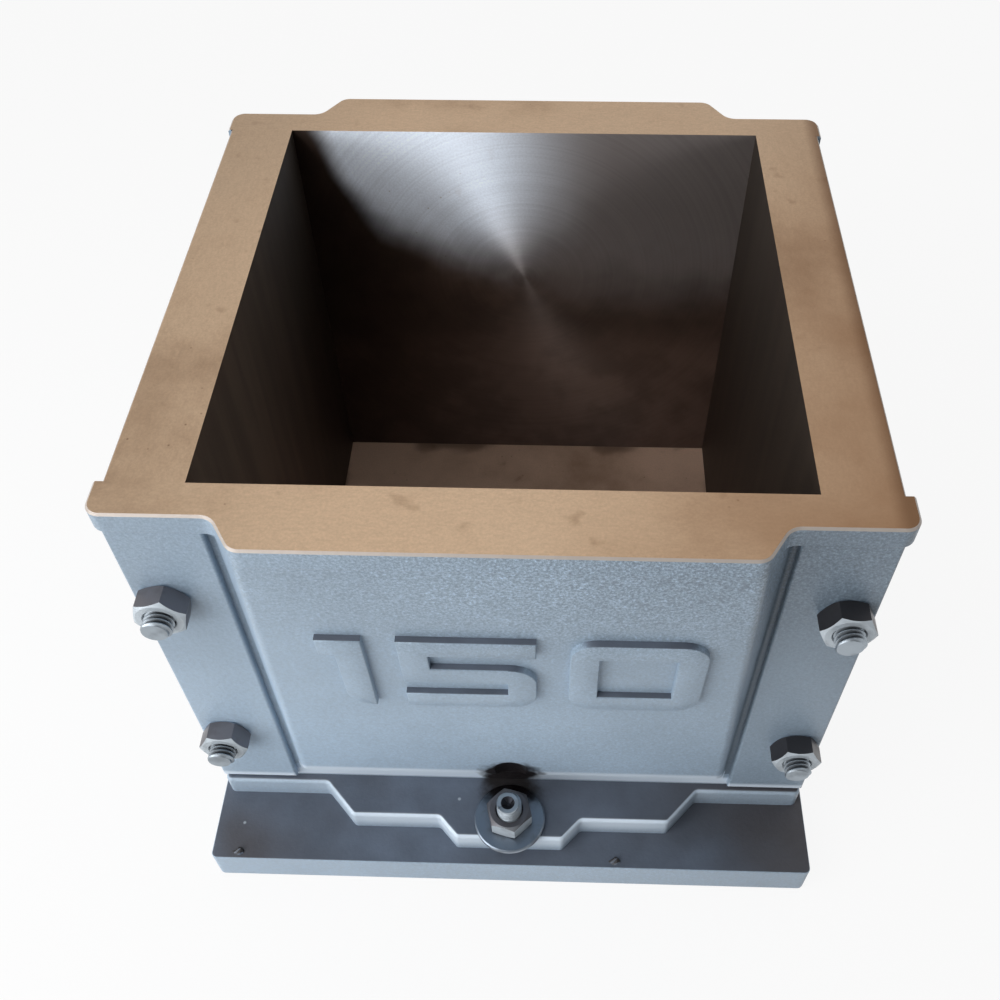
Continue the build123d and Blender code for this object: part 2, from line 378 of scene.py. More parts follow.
def new_finish(name, colours, values):
    """An empty node group for a finish, as (tree, its inputs by label)."""
    tree = bpy.data.node_groups.new(name, "ShaderNodeTree")
    colour_kind = "NodeSocketColor"
    value_kind = "NodeSocketFloat"
    for label in colours:
        tree.interface.new_socket(label, in_out="INPUT", socket_type=colour_kind)
    for label, default in values.items():
        socket = tree.interface.new_socket(label, in_out="INPUT", socket_type=value_kind)
        socket.default_value = default
    for label, kind in (("Colour", colour_kind), ("Roughness", value_kind), ("Height", value_kind)):
        tree.interface.new_socket(label, in_out="OUTPUT", socket_type=kind)
    given = add_node(tree, "NodeGroupInput").outputs
    return tree, {label: Field(tree, given[label]) for label in (*colours, *values)}


def close_finish(tree, colour, roughness, height):
    """Links a finish's node group to its outputs."""
    add_node(tree, "NodeGroupOutput", {"Colour": colour, "Roughness": roughness, "Height": height})
    return tree


def use_finish(tree, name, make, inputs):
    """A finish placed in a material with its own values. Its node group is made at the first use."""
    group = bpy.data.node_groups.get(name) or make(name)
    outputs = add_node(tree, "ShaderNodeGroup", inputs, node_tree=group).outputs
    colour, roughness, height = (Field(tree, socket) for socket in outputs)
    return SimpleNamespace(colour=colour, roughness=roughness, height=height)


def new_material(name):
    """An empty material, as (material, tree)."""
    material = bpy.data.materials.new(name)
    material.use_nodes = True
    material.node_tree.nodes.clear()
    return material, material.node_tree


def shader(tree, colour, roughness, metallic, height, **more):
    """A Principled shader fed by a finish."""
    bump = new_field(tree, "ShaderNodeBump", {"Height": height, "Distance": 1.0})
    feeds = {"Base Color": colour, "Roughness": roughness, "Metallic": metallic, "Normal": bump, **more}
    return new_field(tree, "ShaderNodeBsdfPrincipled", feeds)


def seen_rays(tree):
    """1 for the rays that show a background, in the camera, in metal or through glass."""
    path = add_node(tree, "ShaderNodeLightPath").outputs
    rays = ("Is Camera Ray", "Is Glossy Ray", "Is Transmission Ray")
    camera, mirrored, through = (Field(tree, path[ray]) for ray in rays)
    return camera.larger(mirrored.larger(through))


def show(tree, surface):
    """The tree's output, showing one surface."""
    add_node(tree, "ShaderNodeOutputMaterial", {"Surface": surface})


# Finishes that several materials share.


def enamel_finish(name):
    """Node group: enamel over a rough casting: orange peel, gritty paint with painted glints, dust and
    painted shade on upward faces, painted light low down and painted shade at the right.
    """
    values = {"Grit": 0.2, "Roughness": 0.4, "Peel": 0.0001}
    tree, given = new_finish(name, ("Paint", "Settled", "Grime", "Chip"), values)
    place = coordinate(tree, "Object")
    spot = place.parts()
    across = abs(spot.x)

    skin = place.noise(820, 3, 0.55)
    paint = place.noise(22, 3).spread(0.94, 1.05).shade(given["Paint"])
    paint = skin.spread(0.93, 1.06).shade(paint)
    # Painted light: the enamel is darker under the rim and paler down towards the flange, as the light falls
    # from low in front.
    painted_light_below = spot.z.ramp(rim_height, flange_top, 0.88, 1.3)
    paint = painted_light_below.shade(paint)
    on_ear = across.ramp(panel_half, panel_half + 6 * mm)
    on_wall = spot.z.ramp(flange_top, flange_top + 3 * mm)
    # Painted shade: the ears are darker, more so at the right, away from the lamps. The flange and base plate
    # below are a little darker too.
    ear_shade = spot.x.ramp(-panel_half, panel_half, 0.89, 0.77)
    flange_tone = 0.88
    paint = on_wall.fade(flange_tone, on_ear.fade(1.0, ear_shade)).shade(paint)

    # Fine grit in the paint. Its pale glints are painted highlights, and both show most high up at the right,
    # where the light catches the enamel.
    grains = place.noise(1350, 3, 0.75)
    high = spot.z.ramp(rim_height - 60 * mm, rim_height - 10 * mm, 0.3, 1.4)
    rightwards = spot.x.ramp(-cavity_half, cavity_half / 3, 0.35, 1.0)
    glints = grains.ramp(0.58, 0.7, 0.0, 1.2)
    roughcast = grains.ramp(0.34, 0.66, -1.0, 1.0) + glints
    grit = given["Grit"] * (high * rightwards * on_ear.fade(1.0, 0.75)) * roughcast
    paint = (grit + 1.0).shade(paint)

    # Upward faces: dust, grime and chips over a darker colour that is also painted shade.
    dust = place.noise(60, 4)
    settled = dust.ramp(0.3, 0.75, 0.82, 1.22).shade(given["Settled"])
    brown = place.noise(14, 3).ramp(0.35, 0.6) * across.ramp(30 * mm, 90 * mm, 0.2, 0.8)
    settled = brown.lay(settled, given["Grime"])
    chips = place.specks(85).ramp(0.06, 0.02) * dust.ramp(0.44, 0.5) * 0.4
    settled = chips.lay(settled, given["Chip"])

    upward = coordinate(tree, "Normal").parts().z.ramp(0.72, 0.96)
    # Painted shade: all the enamel grows darker towards the right, away from the lamps at the left.
    painted_shade_right = spot.x.ramp(0.0, wall_half, 1.0, 0.82)
    colour = painted_shade_right.shade(upward.lay(paint, settled))
    roughness = given["Roughness"] + skin.spread(-0.06, 0.08) + upward * 0.14
    return close_finish(tree, colour, roughness, skin * given["Peel"])


def bare_iron_finish(name):
    """Node group: flat machined iron with a brown bloom, oil stains and fine pits."""
    tree, given = new_finish(name, ("Iron", "Stain"), {"Stains": 0.5, "Grain": 0.00003})
    place = coordinate(tree, "Object")
    bloom = place.noise(16, 5, 0.6)
    grain = place.noise(1400, 3, 0.6)
    iron = grain.ramp(0.34, 0.66, 0.95, 1.04).shade(given["Iron"])
    clouds = bloom.ramp(0.45, 0.8) * given["Stains"]
    drops = place.noise(130).ramp(0.66, 0.8) * given["Stains"] * 0.5
    pits = place.specks(190).ramp(0.08, 0.03) * bloom.ramp(0.46, 0.56) * 0.6
    for mask in (clouds, drops, pits):
        iron = mask.lay(iron, given["Stain"])
    roughness = bloom.ramp(0.2, 0.8, 0.42, 0.62)
    return close_finish(tree, iron, roughness, grain * given["Grain"])


def steel_finish(name):
    """Node group: small steel parts, handled and with some dirt."""
    values = {"Dirt": 0.3, "Roughness": 0.35, "Grain": 0.00002}
    tree, given = new_finish(name, ("Steel", "Soot"), values)
    place = coordinate(tree, "Object")
    wear = place.noise(160, 3)
    dirt = wear.ramp(0.48, 0.7) * given["Dirt"]
    colour = dirt.lay(given["Steel"], given["Soot"])
    roughness = given["Roughness"] + wear.spread(-0.05, 0.1)
    return close_finish(tree, colour, roughness, place.noise(2600) * given["Grain"])


def enamel_in(tree, paint):
    """The enamel placed in a material."""
    return use_finish(tree, "Mould Enamel", enamel_finish, {
        "Paint": paint.colour, "Settled": paint.settled, "Grime": paint.grime, "Chip": paint.chip,
        "Grit": paint.grit, "Roughness": paint.roughness, "Peel": paint.peel,
    })


def bare_iron_in(tree, iron, stain, stains):
    """Bare iron placed in a material."""
    inputs = {"Iron": iron, "Stain": stain, "Stains": stains}
    return use_finish(tree, "Mould Bare Iron", bare_iron_finish, inputs)


def steel_in(tree, steel, colour, dirt, roughness):
    """Handled steel placed in a material."""
    inputs = {"Steel": colour, "Soot": steel.soot, "Dirt": dirt, "Roughness": roughness}
    return use_finish(tree, "Mould Steel", steel_finish, inputs)


# Materials.


def grease_and_shade_mask(place):
    """Where the enamel is black round either base stud: greasy dirt crept out from under the panel's foot,
    and painted shade in the recess above the stud and on the flange behind it.
    """
    solid = 7.5 * mm
    reach = 13 * mm
    ragged = 1.2 * mm
    foot = on_panel("front_wall", -1, 0, panel_foot)[0]
    source = (0, -foot.y, foot.z - 2 * mm)
    away = place.vector("ABSOLUTE").distance(source)
    return (away + place.noise(260).spread(-ragged, ragged)).ramp(reach, solid)


def worn_and_highlit_edge_mask(spot, normal):
    """Where the paint is pale along the foot of the panel and ears and the top edge of the flange: partly
    wear, partly a painted highlight on these rounded edges.
    """
    across = abs(spot.x)
    over_flange = spot.z - flange_top
    panel_band = (spot.z - panel_foot).ramp(3.4 * mm, 1.2 * mm)
    ear_band = over_flange.ramp(5.6 * mm, 3.6 * mm)
    band = across.below(panel_half + 3 * mm).fade(ear_band, panel_band)
    upright = abs(normal.y).ramp(0.5, 0.9)
    feet = band * over_flange.ramp(0.3 * mm, 0.9 * mm) * upright
    corner = over_flange.ramp(-10 * mm, -3 * mm) * over_flange.below(0.1 * mm)
    towards_nose = across.ramp(75 * mm, 38 * mm, 0.15, 1.0)
    edge = corner * normal.z.ramp(0.95, 0.8) * towards_nose
    return feet.larger(edge)


def groove_shade(spot):
    """How dark the painted shade makes an end wall along the grooves beside its panel, more so at the right.
    """
    away = abs(abs(spot.x) - groove_middle)
    # Painted shade: a dark line along each groove, darker at the right, where the panel shades it.
    dirt = away.ramp(1.7 * mm, 0.7 * mm) * spot.z.above(panel_foot) * spot.z.below(lip_foot)
    return dirt.fade(1.0, spot.x.ramp(-cavity_half, cavity_half, 0.75, 0.5))


def rim_colour(colour, iron, place, spot, along):
    """Bare iron on a rim, planed along it, burnt at the front right and stained at the right edge."""
    planing = place.vector("MULTIPLY", along).noise(1300, 4, 0.7)
    colour = planing.spread(0.94, 1.05).shade(colour)
    towards_corner = spot.x - spot.y * 0.35
    burnt = towards_corner.ramp(30 * mm, 130 * mm) * place.noise(40, 3).spread(0.7, 1.0)
    colour = burnt.lay(colour, iron.burn)
    darker_left = spot.x.ramp(-wall_half, -wall_half / 3, 0.82, 1.0)
    darker_back = spot.y.ramp(0.0, cavity_half, 1.02, 0.94)
    colour = darker_back.shade(darker_left.shade(colour))
    fringe = spot.x.ramp(wall_half - 5 * mm, wall_half, 0.0, 0.75)
    return fringe.lay(colour, iron.stain)


def turned_iron(tree, iron, place, spot):
    """The inside of an end wall, faced on a lathe: cleaner iron with a painted highlight high at the left,
    dull elsewhere, brown with oil and painted shade low down.
    """
    centre = rim_height - iron.turning
    finish = bare_iron_in(tree, iron.cavity, iron.dull, stains=0.25)
    cloud = place.noise(30, 3).spread(-5 * mm, 5 * mm)

    # The film low down is oil and painted shade: its edge rises at the left and in the left corner, where the
    # walls' shadow falls.
    level = spot.z - centre + cloud
    lean = spot.x.ramp(-cavity_half, 0, -26 * mm, 0)
    corner = spot.x.ramp(-cavity_half, 25 * mm - cavity_half, -46 * mm, 0)
    low_left = (level + lean + corner).ramp(16 * mm, -12 * mm)
    low_right = level.ramp(34 * mm, -18 * mm)
    low_down = spot.x.ramp(-2 * mm, 12 * mm).fade(low_left, low_right)
    blotches = place.noise(60, 4).ramp(0.35, 0.65, 0.82, 1.16)
    # Painted shade: the film is darker at the left and in a belt just under its edge.
    leftwards = spot.x.ramp(-cavity_half, -15 * mm, 0.5, 1.0)
    belt = level.ramp(-15 * mm, -40 * mm, 0.6, 1.1)
    film = (blotches * leftwards * belt).shade(iron.film)

    # Painted highlight: a bright, cleaner patch high at the left, where the turning marks catch the lamps.
    flat = place.vector("MULTIPLY", (1, 0, 1))
    patch = (-36 * mm, 0, rim_height - 12 * mm)
    clean_and_highlit = (flat.distance(patch) - cloud * 0.4).ramp(68 * mm, 24 * mm)
    colour = low_down.lay(clean_and_highlit.lay(iron.dull, finish.colour), film)
    radius = flat.vector("SUBTRACT", (0, 0, centre))
    rings = radius.vector("LENGTH", output="Value").noise(420, 4, 0.7)
    colour = rings.spread(0.93, 1.05).shade(colour)
    metallic = low_down.fade(clean_and_highlit.fade(0.8, 0.5), 0.3)
    brushing = {"Anisotropic": 0.93, "Tangent": radius.vector("NORMALIZE")}
    return shader(tree, colour, roughness=0.74, metallic=metallic, height=finish.height, **brushing)


def oiled_iron(tree, iron, place, spot):
    """The inside of a side wall, planed upwards and black with oil low down."""
    finish = bare_iron_in(tree, iron.side, iron.oil, stains=0.5)
    low_down = spot.z.ramp(rim_height - 10 * mm, floor_height + 30 * mm, 0.0, 0.85)
    colour = low_down.lay(finish.colour, iron.oil)
    upwards = (1, 1, 0.08)
    strokes = place.vector("MULTIPLY", upwards).noise(150, 3)
    colour = strokes.spread(0.84, 1.18).shade(colour)
    # The left wall is paler at the front and darker towards the back. The right wall is painted darker as
    # shade.
    left_tone = spot.y.ramp(-40 * mm, 55 * mm, 1.55, 0.5)
    right_tone = 0.43
    rightwards = spot.x.ramp(-cavity_half, cavity_half)
    colour = rightwards.fade(left_tone, right_tone).shade(colour)
    return shader(tree, colour, roughness=0.6, metallic=0.2, height=finish.height)


def casting_material(name, scene, turned):
    """A wall: enamel outside, brown bare iron on the rim and dark iron towards the cavity.

    The inside of an end wall is turned, and that of a side wall is planed and oiled.
    """
    paint = scene.mould_paint
    iron = scene.mould_iron
    material, tree = new_material(name)
    place = coordinate(tree, "Object")
    spot = place.parts()
    normal = coordinate(tree, "Normal").parts()
    enamel = enamel_in(tree, paint)
    bare = bare_iron_in(tree, iron.rim, iron.stain, stains=0.55)

    near_rim = spot.z.above(rim_height - 0.8 * mm)
    on_rim = near_rim * normal.z.ramp(0.8, 0.9)
    on_bevel = near_rim * normal.z.ramp(0.5, 0.62)
    stretch = 0.4
    along = (stretch, 1, 1) if turned else (1, stretch, 1)
    # Painted shade along the grooves beside the panel.
    colour = groove_shade(spot).shade(enamel.colour)
    # Pale edges: wear and painted highlight.
    colour = worn_and_highlit_edge_mask(spot, normal).lay(colour, paint.worn_and_highlit)
    # Black round the base stud: greasy dirt and painted shade.
    colour = grease_and_shade_mask(place).lay(colour, paint.grease_and_shade)
    colour = on_bevel.lay(colour, iron.edge)
    colour = on_rim.lay(colour, rim_colour(bare.colour, iron, place, spot, along))
    roughness = on_rim.fade(enamel.roughness, bare.roughness)
    height = on_rim.fade(enamel.height, bare.height)
    bevel_metal = 0.2
    rim_metal = 0.75
    metallic = on_rim.fade(on_bevel * bevel_metal, rim_metal)
    outside = shader(tree, colour, roughness, metallic, height)

    machine = turned_iron if turned else oiled_iron
    inside = machine(tree, iron, place, spot)
    hair = 0.05 * mm
    in_cavity = abs(spot.y if turned else spot.x).below(cavity_half + hair)
    between_ends = abs(spot.x).below(wall_half)
    off_rim = normal.z.below(0.5)
    show(tree, (in_cavity * off_rim * between_ends).cover(outside, inside))
    return material


def base_material(name, scene):
    """The base plate: enamel round the outside, bare iron where the walls stand and inside the mould."""
    iron = scene.mould_iron
    material, tree = new_material(name)
    place = coordinate(tree, "Object")
    spot = place.parts()
    across = abs(spot.x)
    along = abs(spot.y)
    enamel = enamel_in(tree, scene.mould_paint)
    bare = bare_iron_in(tree, iron.bed, iron.stain, stains=0.7)
    upward = coordinate(tree, "Normal").parts().z.above(0.95)
    seat = across.below(wall_half) * along.below(seat_half) * upward
    ragged = across.larger(along) + place.noise(32, 3).ramp(0.35, 0.65, -9 * mm, 3 * mm)
    residue = ragged.ramp(cavity_half - 5 * mm, cavity_half + 3 * mm, 0.0, 0.65)
    colour = seat.lay(enamel.colour, residue.lay(bare.colour, iron.oil))
    roughness = seat.fade(enamel.roughness, bare.roughness)
    height = seat.fade(enamel.height, bare.height)
    show(tree, shader(tree, colour, roughness, metallic=0.0, height=height))
    return material


def burr_material(name, paint):
    """A burr, grey along the front and black behind, where painted shade stands for its shadow."""
    material, tree = new_material(name)
    # Painted shade: faces turned away from the front take the black.
    front = coordinate(tree, "Normal").parts().y.ramp(-0.35, -0.6)
    colour = front.lay(paint.grease_and_shade, paint.settled)
    enamel = enamel_in(tree, paint)
    show(tree, shader(tree, colour, enamel.roughness, metallic=0.0, height=enamel.height))
    return material


def figure_material(name, paint):
    """Plain enamel, as on the walls."""
    material, tree = new_material(name)
    enamel = enamel_in(tree, paint)
    show(tree, shader(tree, enamel.colour, enamel.roughness, metallic=0.0, height=enamel.height))
    return material


def stud_material(name, steel, colour, dirt, roughness):
    """Studs in one of their steels."""
    material, tree = new_material(name)
    finish = steel_in(tree, steel, colour, dirt, roughness)
    show(tree, shader(tree, finish.colour, finish.roughness, metallic=1.0, height=finish.height))
    return material


def washer_material(name, scene):
    """Dull plated washers, black towards the wall with greasy dirt and painted shade under the panel's foot.
    """
    steel = scene.mould_steel
    material, tree = new_material(name)
    # Painted shade and greasy dirt on the washer's side towards the wall.
    greased_and_shaded = grease_and_shade_mask(coordinate(tree, "Object"))
    colour = greased_and_shaded.lay(steel.washer, scene.mould_paint.grease_and_shade)
    finish = steel_in(tree, steel, colour, dirt=0.4, roughness=0.36)
    show(tree, shader(tree, finish.colour, finish.roughness, metallic=1.0, height=finish.height))
    return material


def nut_material(name, steel):
    """Blackened nuts, pale on the faces and bevels that look outwards, partly wear and partly a painted
    highlight, and painted darker towards the right as shade.
    """
    material, tree = new_material(name)
    # Faces that look outwards are pale: wear and painted highlight.
    outwards = abs(coordinate(tree, "Normal").parts().y).ramp(0.35, 0.75)
    # Painted shade: the nuts grow darker towards the right, away from the lamps.
    painted_shade_right = coordinate(tree, "Object").parts().x.ramp(-wall_half, wall_half, 1.15, 0.35)
    colour = outwards.lay(painted_shade_right.shade(steel.nut), steel.rubbed_and_highlit)
    finish = steel_in(tree, steel, colour, dirt=0.25, roughness=0.38)
    metallic = outwards.fade(0.7, 0.2)
    show(tree, shader(tree, finish.colour, finish.roughness, metallic, finish.height))
    return material


def coat(obj, material):
    """Gives an object one material."""
    obj.data.materials.clear()
    obj.data.materials.append(material)


def nodes_named(start):
    """The CAD nodes whose names begin so."""
    return {name: node for name, node in frame["nodes"].items() if name.startswith(start)}


def body_of(node_name):
    """The body that carries a CAD node."""
    bodies = frame["record"]["behaviour"]["bodies"]
    return next(body for body, nodes in bodies.items() if node_name in nodes)


# Modelling helpers.


def clear_selection():
    """Nothing selected, in object mode."""
    if bpy.context.mode != "OBJECT":
        bpy.ops.object.mode_set(mode="OBJECT")
    bpy.ops.object.select_all(action="DESELECT")


def select_only(*pieces):
    """Selects these pieces and no others, the first of them active."""
    clear_selection()
    for piece in pieces:
        piece.select_set(True)
    bpy.context.view_layer.objects.active = pieces[0]


def edit_mesh(kind, action="SELECT"):
    """Goes into edit mode with all points, edges or faces of the active piece selected, or none."""
    bpy.ops.object.mode_set(mode="EDIT")
    bpy.ops.mesh.select_mode(type=kind)
    bpy.ops.mesh.select_all(action=action)


def pick(piece, kind, test):
    """Selects the points, edges or faces of a piece that pass a test, and goes into edit mode."""
    kinds = {"VERT": "vertices", "EDGE": "edges", "FACE": "polygons"}
    edit_mesh(kind, "DESELECT")
    bpy.ops.object.mode_set(mode="OBJECT")
    for item in getattr(piece.data, kinds[kind]):
        item.select = test(item)
    bpy.ops.object.mode_set(mode="EDIT")


def edge_middle(piece, edge):
    """The middle of an edge of a piece."""
    first, last = (piece.data.vertices[end].co for end in edge.vertices)
    return (first + last) / 2


def extrude(step):
    """Extrudes what is selected by one step."""
    bpy.ops.mesh.extrude_region_move(TRANSFORM_OT_translate={"value": step})


def point_outwards():
    """Turns all faces of the mesh in edit mode outwards."""
    bpy.ops.mesh.select_all(action="SELECT")
    bpy.ops.mesh.normals_make_consistent(inside=False)


def settle(piece, place, turn=(0, 0, 0)):
    """Holds a place and a turn of the selected piece in its mesh."""
    piece.location = place
    piece.rotation_euler = turn
    bpy.ops.object.transform_apply(location=True, rotation=True, scale=True)


def place_copy(model, name, turn, place):
    """A copy of a model with its own mesh, its place and turn held in that mesh."""
    select_only(model)
    bpy.ops.object.duplicate(linked=False)
    piece = bpy.context.object
    piece.name = name
    settle(piece, place, turn)
    return piece


def discard(model):
    """Removes a model after its copies are made."""
    select_only(model)
    bpy.ops.object.delete()


# Threaded studs.


def make_threaded_rod(name, steel, radius, length):
    """A threaded stud along +Z from the origin, its top end bevelled."""
    pitch = steel.pitch
    depth = steel.thread_depth
    root = radius - steel.thread_inset - depth
    flank = steel.flank * pitch
    crest_flat = steel.crest_flat * pitch
    root_flat = pitch - 2 * flank - crest_flat
    crease = math.radians(35)
    clear_selection()
    bpy.ops.mesh.primitive_plane_add(size=pitch)
    rod = bpy.context.object
    rod.name = name
    edit_mesh("VERT")
    bpy.ops.mesh.merge(type="CENTER")
    bpy.ops.transform.translate(value=(root, 0, -pitch))
    for step in ((depth, 0, flank), (0, 0, crest_flat), (-depth, 0, flank), (0, 0, root_flat)):
        extrude(step)
    bpy.ops.object.mode_set(mode="OBJECT")
    screw = rod.modifiers.new("Thread", "SCREW")
    screw.axis = "Z"
    screw.screw_offset = pitch
    screw.iterations = math.ceil(length / pitch) + 2
    screw.steps = steel.turn_steps
    screw.render_steps = steel.turn_steps
    bpy.ops.object.modifier_apply(modifier=screw.name)
    edit_mesh("VERT")
    bpy.ops.mesh.remove_doubles(threshold=pitch / 100)
    cut = {"plane_no": (0, 0, 1), "use_fill": True, "threshold": pitch / 1000}
    bpy.ops.mesh.bisect(plane_co=(0, 0, 0), clear_inner=True, **cut)
    bpy.ops.mesh.select_all(action="SELECT")
    top = length - steel.bevel
    bpy.ops.mesh.bisect(plane_co=(0, 0, top), clear_outer=True, **cut)
    point_outwards()
    pick(rod, "FACE", lambda face: face.center.z > top - pitch / 50 and abs(face.normal.z) > square_on)
    extrude((0, 0, steel.bevel))
    shrink = (root - steel.bevel / 2) / root
    bpy.ops.transform.resize(value=(shrink, shrink, 1), center_override=(0, 0, length))
    point_outwards()
    bpy.ops.object.mode_set(mode="OBJECT")
    bpy.ops.object.shade_smooth_by_angle(angle=crease)
    return rod


def sink_centre_mark(rod, length, radius, depth):
    """A turned centre mark in the top end of a threaded rod."""
    margin = 0.3 * radius
    narrowing = 0.25
    pick(rod, "FACE", lambda face: face.center.z > length - depth / 50 and face.normal.z > square_on)
    bpy.ops.mesh.inset(thickness=margin)
    extrude((0, 0, -depth))
    bpy.ops.transform.resize(value=(narrowing, narrowing, 1), center_override=(0, 0, length - depth))
    bpy.ops.object.mode_set(mode="OBJECT")


def shade_thread_grooves(rod, steel, radius, length):
    """Gives the grooves, undersides and centre mark of a rod its second material, a darker steel that is
    painted shade.
    """
    groove_radius = radius - 0.8 * steel.thread_depth
    mark_radius = 0.5 * radius
    mark_top = length - steel.dimple / 4
    mark_foot = 0.1 * length
    steep = 0.3
    for face in rod.data.polygons:
        away = math.hypot(face.center.x, face.center.y)
        in_groove = away < groove_radius or face.normal.z < -steep
        in_mark = away < mark_radius and mark_foot < face.center.z < mark_top
        face.material_index = 1 if in_mark or (in_groove and face.normal.z < steep) else 0


def stud_stand(name, upright):
    """The turn and the foot of a stud, which stands up or points out of its end wall."""
    low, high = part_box(name)
    middle = (low + high) / 2
    quarter = math.pi / 2
    if upright:
        return (0, 0, 0), (middle.x, middle.y, low.z)
    if middle.y > 0:
        return (-quarter, 0, 0), (middle.x, low.y, middle.z)
    return (quarter, 0, 0), (middle.x, high.y, middle.z)


# Raised figures.

# Each figure as the walk of its stroke: capitals are long steps, small letters squares and < is a short flag.
figure_walks = {"1": "UuUu<", "5": "LlDdRrDdLl", "0": "RrDdDdLlUuU"}


def walk_figure(figures, walk):
    """A flat figure, its stroke extruded step by step, with its clockwise turns rounded."""
    stroke = figures.stroke
    touch = stroke / 100
    ways = {"L": (-1, 0), "R": (1, 0), "U": (0, 1), "D": (0, -1), "<": (-1, 0)}
    long_across = figures.width - 2 * stroke
    long_up = (figures.height - 3 * stroke) / 2
    clear_selection()
    bpy.ops.mesh.primitive_plane_add(size=stroke)
    piece = bpy.context.object
    middle = Vector((0, 0))
    length = stroke
    headings = [Vector(ways[move.upper()]) for move in walk]
    heading = headings[-1]
    turns = []
    for move, way in zip(walk, headings):
        if heading.cross(way) < 0:
            turns.append(middle + (heading - way) * stroke / 2)
        side = middle + way * (length if way == heading else stroke) / 2
        pick(piece, "EDGE", lambda edge: (edge_middle(piece, edge).xy - side).length < touch)
        long_step = long_across if way.x else long_up
        length = figures.flag if move == "<" else stroke if move.islower() else long_step
        extrude((*(way * length), 0))
        middle = side + way * length / 2
        heading = way
    bpy.ops.mesh.select_all(action="SELECT")
    bpy.ops.mesh.remove_doubles(threshold=touch)
    for turn in turns:
        pick(piece, "VERT", lambda point: (point.co.xy - turn).length < touch)
        bpy.ops.mesh.bevel(offset=figures.turn, segments=6, affect="VERTICES")
    bpy.ops.object.mode_set(mode="OBJECT")
    return piece


def make_figures(name, figures):
    """All the figures side by side, standing on the XY plane about the origin."""
    crease = math.radians(40)
    pieces = []
    reach = 0
    for character in figures.text:
        piece = walk_figure(figures, figure_walks[character])
        left, low = piece.bound_box[0][:2]
        right, high = piece.bound_box[6][:2]
        settle(piece, (reach - left, -(low + high) / 2, 0))
        reach += right - left + figures.gap
        pieces.append(piece)
    select_only(*pieces)
    bpy.ops.object.join()
    model = bpy.context.object
    model.name = name
    settle(model, (-(reach - figures.gap) / 2, 0, -figures.sink))
    edit_mesh("FACE")
    extrude((0, 0, figures.sink + figures.relief))
    point_outwards()
    pick(model, "FACE", lambda face: face.normal.z > square_on)
    bpy.ops.mesh.region_to_loop()
    bpy.ops.mesh.bevel(offset=figures.round, segments=2, affect="EDGES")
    point_outwards()
    bpy.ops.object.mode_set(mode="OBJECT")
    bpy.ops.object.shade_smooth_by_angle(angle=crease)
    return model


# Burrs.


def make_burr(name, burrs):
    """A torn burr with its peak to the back, standing on the origin."""
    corners = 9
    squash = 0.55
    step = (0.06 * burrs.width, 0.12 * burrs.width, burrs.height / 2)
    tear = 0.07 * burrs.width
    clear_selection()
    bpy.ops.mesh.primitive_circle_add(vertices=corners, radius=burrs.width / 2, fill_type="NGON")
    burr = bpy.context.object
    burr.name = name
    edit_mesh("FACE")
    bpy.ops.transform.resize(value=(1, squash, 1))
    for shrink in (0.7, 0.35):
        extrude(step)
        bpy.ops.transform.resize(value=(shrink, shrink, 1))
    bpy.ops.mesh.select_all(action="SELECT")
    bpy.ops.transform.vertex_random(offset=tear, seed=4)
    point_outwards()
    bpy.ops.object.mode_set(mode="OBJECT")
    return burr


# Operators, one for each group of pieces.


class MOULD_OT_finish_walls(bpy.types.Operator):
    """Paints the four wall castings and bares their machined faces"""

    bl_idname = "mould.finish_walls"
    bl_label = "Finish Walls"

    def execute(self, context):
        end_casting = casting_material("End Wall Casting", context.scene, turned=True)
        side_casting = casting_material("Side Wall Casting", context.scene, turned=False)
        for name in ("front_wall", "back_wall"):
            coat(frame["nodes"][name], end_casting)
        for name in ("left_wall", "right_wall"):
            coat(frame["nodes"][name], side_casting)
        return {"FINISHED"}


class MOULD_OT_finish_base(bpy.types.Operator):
    """Paints the base plate, bares its bed and leaves two burrs on its front edge"""

    bl_idname = "mould.finish_base"
    bl_label = "Finish Base Plate"

    def execute(self, context):
        scene = context.scene
        burrs = scene.mould_burrs
        coat(frame["nodes"]["base_plate"], base_material("Base Plate Casting", scene))
        model = make_burr("burr_model", burrs)
        coat(model, burr_material("Torn Burr", scene.mould_paint))
        inset = 0.4 * burrs.width
        for side, x in (("left", burrs.left), ("right", burrs.right)):
            place = (x, plate_front + inset, floor_height - burrs.sink)
            piece = place_copy(model, f"base_burr_{side}", (0, 0, 0), place)
            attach(piece, "base")
        discard(model)
        return {"FINISHED"}


class MOULD_OT_finish_nuts(bpy.types.Operator):
    """Gives the nuts and washers their steel"""

    bl_idname = "mould.finish_nuts"
    bl_label = "Finish Nuts and Washers"

    def execute(self, context):
        nut = nut_material("Blackened Nut", context.scene.mould_steel)
        washer = washer_material("Plated Washer", context.scene)
        for start, material in (("corner_nut", nut), ("base_nut", nut), ("base_washer", washer)):
            for node in nodes_named(start).values():
                coat(node, material)
        return {"FINISHED"}


